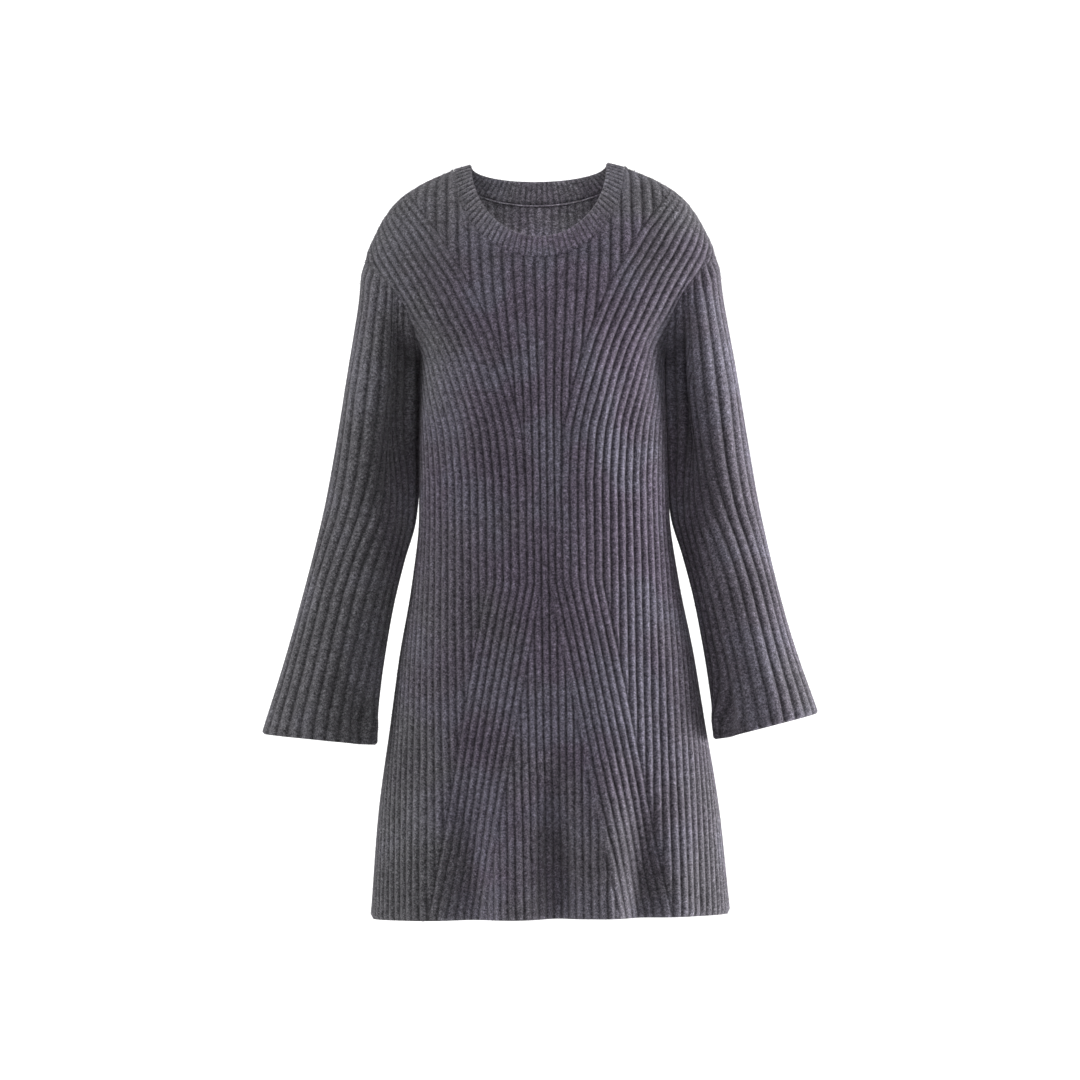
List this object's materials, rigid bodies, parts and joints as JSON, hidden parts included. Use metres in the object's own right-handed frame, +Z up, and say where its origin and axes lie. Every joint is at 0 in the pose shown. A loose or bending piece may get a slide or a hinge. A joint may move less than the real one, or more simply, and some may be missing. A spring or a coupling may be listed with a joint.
{
  "type": "sweater dress",
  "caption": "Long-sleeved ribbed knit sweater dress with a round neckband and a flared skirt, hollow, in the form it has when it is worn.",
  "frame": {"origin": "middle of the neck opening, level with the two highest points of the neckband", "axes": "+Z up, the front of the dress faces -Y, +X towards the wearer's left"},
  "size_m": [0.637, 0.2359, 0.8595],
  "materials": {
    "wool_rib": "heathered charcoal wool rib knit, matt, slightly fuzzy",
    "neckband_rib": "the same wool in a finer, firmer rib"
  },
  "bodies": {
    "root": {"front_panel": "wool_rib", "back_panel": "wool_rib", "sleeve_left": "wool_rib", "sleeve_right": "wool_rib", "neckband": "neckband_rib"}
  },
  "joints": []
}
